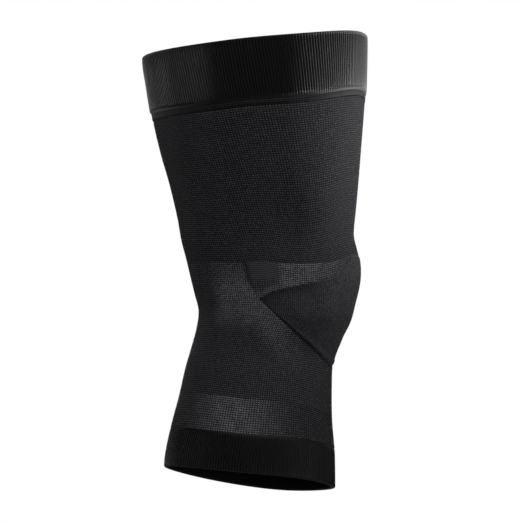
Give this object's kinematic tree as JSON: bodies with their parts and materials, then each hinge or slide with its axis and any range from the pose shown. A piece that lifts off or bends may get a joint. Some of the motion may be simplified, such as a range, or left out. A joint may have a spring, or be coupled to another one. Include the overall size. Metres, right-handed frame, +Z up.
{
  "type": "knee sleeve",
  "caption": "Knitted compression knee sleeve in its worn form: ribbed cuffs, a plain thigh tube, a shaped kneecap panel and a grip band over the calf.",
  "frame": {"origin": "the middle of the knee, where the leg holds the sleeve", "axes": "+Z up the thigh, -Y out of the front of the knee, X across the knee"},
  "size_m": [0.1458, 0.1546, 0.3097],
  "materials": {
    "ribbed_knit": "black ribbed nylon and elastane knit, matt with a faint sheen on the ribs",
    "seam_knit": "black flat knit between two rows of linking stitches",
    "plain_knit": "black plain knit, matt",
    "fine_knit": "charcoal fine plain knit with a soft sheen",
    "panel_knit": "black dense knit, matt",
    "grip_knit": "dark grey knit with a soft sheen"
  },
  "bodies": {
    "root": {"top_cuff": "ribbed_knit", "cuff_seam": "seam_knit", "thigh_knit": "plain_knit", "knee_knit": "fine_knit", "kneecap_panel": "panel_knit", "grip_band": "grip_knit", "bottom_cuff": "ribbed_knit"}
  },
  "joints": []
}
